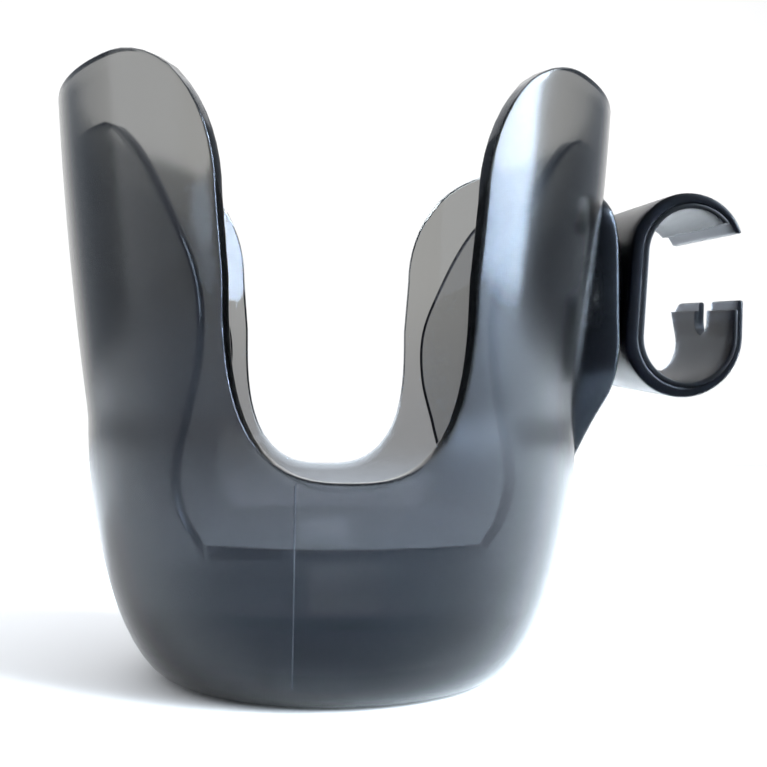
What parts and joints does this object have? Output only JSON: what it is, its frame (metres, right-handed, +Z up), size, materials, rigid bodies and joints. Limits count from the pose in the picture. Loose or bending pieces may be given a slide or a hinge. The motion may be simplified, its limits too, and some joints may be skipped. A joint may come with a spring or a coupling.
{
  "type": "clip-on cup holder",
  "caption": "Translucent cup holder with tall front and rear slots, a snap-in liner and a C-shaped snap clip that swivels on its side.",
  "frame": {"origin": "centre of the cup's flat underside", "axes": "+Z up along the cup's axis, +X towards the clip, -Y the front slot"},
  "size_m": [0.1076, 0.0776, 0.088],
  "materials": {
    "shell_plastic": "smoke-tinted clear plastic, satin gloss",
    "insert_plastic": "smoke-tinted clear plastic, satin",
    "clip_plastic": "smoke-tinted clear plastic, glossy edges",
    "liner_plastic": "smooth dark grip liner",
    "disc_plastic": "slippery moulded plastic",
    "spring_steel": "spring steel",
    "plated_steel": "zinc-plated steel"
  },
  "bodies": {
    "cup": {"cup_shell": "shell_plastic", "cup_insert": "insert_plastic"},
    "clip": {"clip_body": "clip_plastic", "clip_liner": "liner_plastic", "swivel_disc": "disc_plastic", "disc_spring": "spring_steel", "retaining_washer": "plated_steel", "pivot_screw": "plated_steel"}
  },
  "joints": [
    {"name": "clip_swivel", "type": "hinge", "parent": "cup", "child": "clip", "pos_m": [0.0436, 0, 0.0604], "axis": [1, 0, 0], "continuous": true}
  ]
}
